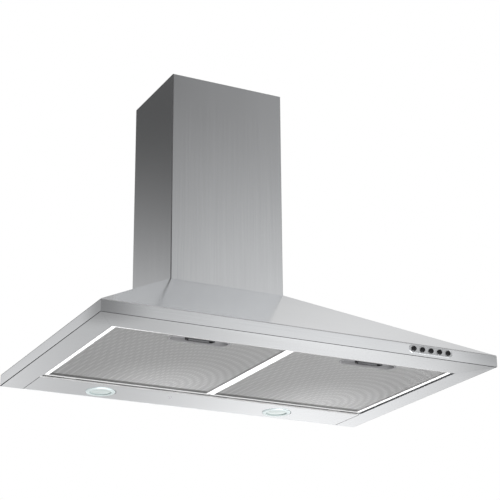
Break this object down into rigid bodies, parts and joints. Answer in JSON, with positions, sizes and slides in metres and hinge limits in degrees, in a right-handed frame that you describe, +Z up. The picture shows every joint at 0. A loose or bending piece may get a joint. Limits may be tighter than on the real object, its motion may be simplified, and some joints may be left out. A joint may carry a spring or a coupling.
{
  "type": "chimney range hood",
  "caption": "Wall-mounted pyramid chimney range hood with hinged mesh grease filters, push buttons, round lamps, a telescopic chimney and an inner blower.",
  "frame": {"origin": "middle of the back face where it meets the plane of the underside", "axes": "+X to the right seen from the room, +Y into the wall, +Z up"},
  "size_m": [0.75, 0.5036, 0.6116],
  "materials": {
    "brushed_steel": "fine brushed satin stainless steel",
    "galvanised_steel": "plain zinc-coated sheet",
    "filter_aluminium": "bright anodised channel",
    "filter_mesh": "woven aluminium mesh",
    "latch_dish": "pressed dish",
    "black_plastic": "black moulded plastic",
    "dark_plastic": "dark moulded plastic",
    "collar_plastic": "light moulded plastic",
    "spring_steel": "hardened strip",
    "fixings": "zinc-plated",
    "lamp_trim": "satin bright ring",
    "lamp_glass": "frosted lens",
    "lamp_housing": "spun reflector",
    "motor_housing": "dark enamel",
    "damper_rubber": "soft rubber",
    "flap_aluminium": "plain sheet",
    "box_plastic": "light grey moulded",
    "terminal_plastic": "cream moulded"
  },
  "bodies": {
    "hood": {"canopy": "brushed_steel", "inner_frame": "brushed_steel", "lower_chimney": "brushed_steel", "light_plate": "brushed_steel", "button_bezel": "brushed_steel", "back_panel": "galvanised_steel", "blower_deck": "galvanised_steel", "centre_rail": "galvanised_steel", "plate_bracket": "galvanised_steel", "wall_hooks": "galvanised_steel", "chimney_clips": "galvanised_steel", "motor_bracket": "galvanised_steel", "capacitor_clip": "galvanised_steel", "cable_gland": "black_plastic", "switch_block": "dark_plastic", "blower_shell_left": "dark_plastic", "blower_shell_right": "dark_plastic", "inlet_grille_left": "dark_plastic", "inlet_grille_right": "dark_plastic", "outlet_adapter": "dark_plastic", "duct_collar": "collar_plastic", "panel_rivets": "fixings", "plate_screw": "fixings", "blower_screws": "fixings", "flap_pin": "fixings", "lamp_ring_left": "lamp_trim", "lamp_ring_right": "lamp_trim", "lamp_lens_left": "lamp_glass", "lamp_lens_right": "lamp_glass", "lamp_body_left": "lamp_housing", "lamp_body_right": "lamp_housing", "motor": "motor_housing", "motor_dampers": "damper_rubber", "terminal_box": "box_plastic", "terminal_lid": "box_plastic", "capacitor": "box_plastic", "terminal_block": "terminal_plastic"},
    "upper_cover": {"upper_chimney": "brushed_steel", "chimney_bracket": "galvanised_steel"},
    "filter_left": {"filter_frame_left": "filter_aluminium", "filter_mesh_left": "filter_mesh", "filter_core_left": "filter_mesh", "latch_plate_left": "latch_dish", "latch_spring_left": "spring_steel"},
    "latch_left_slider": {"latch_left": "black_plastic"},
    "filter_right": {"filter_frame_right": "filter_aluminium", "filter_mesh_right": "filter_mesh", "filter_core_right": "filter_mesh", "latch_plate_right": "latch_dish", "latch_spring_right": "spring_steel"},
    "latch_right_slider": {"latch_right": "black_plastic"},
    "button_1_plunger": {"button_1": "black_plastic"},
    "button_2_plunger": {"button_2": "black_plastic"},
    "button_3_plunger": {"button_3": "black_plastic"},
    "button_4_plunger": {"button_4": "black_plastic"},
    "button_5_plunger": {"button_5": "black_plastic"},
    "fan": {"impeller": "dark_plastic", "fan_shaft": "fixings"},
    "front_flap": {"flap_front": "flap_aluminium"},
    "rear_flap": {"flap_rear": "flap_aluminium"}
  },
  "joints": [
    {"name": "filter_left_swing", "type": "hinge", "parent": "hood", "child": "filter_left", "pos_m": [-0.1635, -0.092, 0.0025], "axis": [1, 0, 0], "range_deg": [0, 75]},
    {"name": "latch_left_pull", "type": "slide", "parent": "filter_left", "child": "latch_left_slider", "axis": [0, 1, 0], "range_m": [0, 0.004], "stiffness_N_per_m": 400, "springref_m": -0.002, "deforming": ["latch_spring_left"]},
    {"name": "filter_right_swing", "type": "hinge", "parent": "hood", "child": "filter_right", "pos_m": [0.1635, -0.092, 0.0025], "axis": [1, 0, 0], "range_deg": [0, 75]},
    {"name": "latch_right_pull", "type": "slide", "parent": "filter_right", "child": "latch_right_slider", "axis": [0, 1, 0], "range_m": [0, 0.004], "stiffness_N_per_m": 400, "springref_m": -0.002, "deforming": ["latch_spring_right"]},
    {"name": "button_1_press", "type": "slide", "parent": "hood", "child": "button_1_plunger", "axis": [0, 1, 0], "range_m": [0, 0.003], "stiffness_N_per_m": 150, "springref_m": -0.001},
    {"name": "button_2_press", "type": "slide", "parent": "hood", "child": "button_2_plunger", "axis": [0, 1, 0], "range_m": [0, 0.003], "stiffness_N_per_m": 150, "springref_m": -0.001},
    {"name": "button_3_press", "type": "slide", "parent": "hood", "child": "button_3_plunger", "axis": [0, 1, 0], "range_m": [0, 0.003], "stiffness_N_per_m": 150, "springref_m": -0.001},
    {"name": "button_4_press", "type": "slide", "parent": "hood", "child": "button_4_plunger", "axis": [0, 1, 0], "range_m": [0, 0.003], "stiffness_N_per_m": 150, "springref_m": -0.001},
    {"name": "button_5_press", "type": "slide", "parent": "hood", "child": "button_5_plunger", "axis": [0, 1, 0], "range_m": [0, 0.003], "stiffness_N_per_m": 150, "springref_m": -0.001},
    {"name": "fan_spin", "type": "hinge", "parent": "hood", "child": "fan", "pos_m": [0, -0.088, 0.141], "axis": [1, 0, 0], "continuous": true},
    {"name": "flap_front_lift", "type": "hinge", "parent": "hood", "child": "front_flap", "pos_m": [0, -0.092, 0.27], "axis": [-1, 0, 0], "range_deg": [0, 75]},
    {"name": "flap_rear_lift", "type": "hinge", "parent": "hood", "child": "rear_flap", "pos_m": [0, -0.092, 0.27], "axis": [1, 0, 0], "range_deg": [0, 75]},
    {"name": "upper_chimney_slide", "type": "slide", "parent": "hood", "child": "upper_cover", "axis": [0, 0, 1], "range_m": [0, 0.36]}
  ]
}
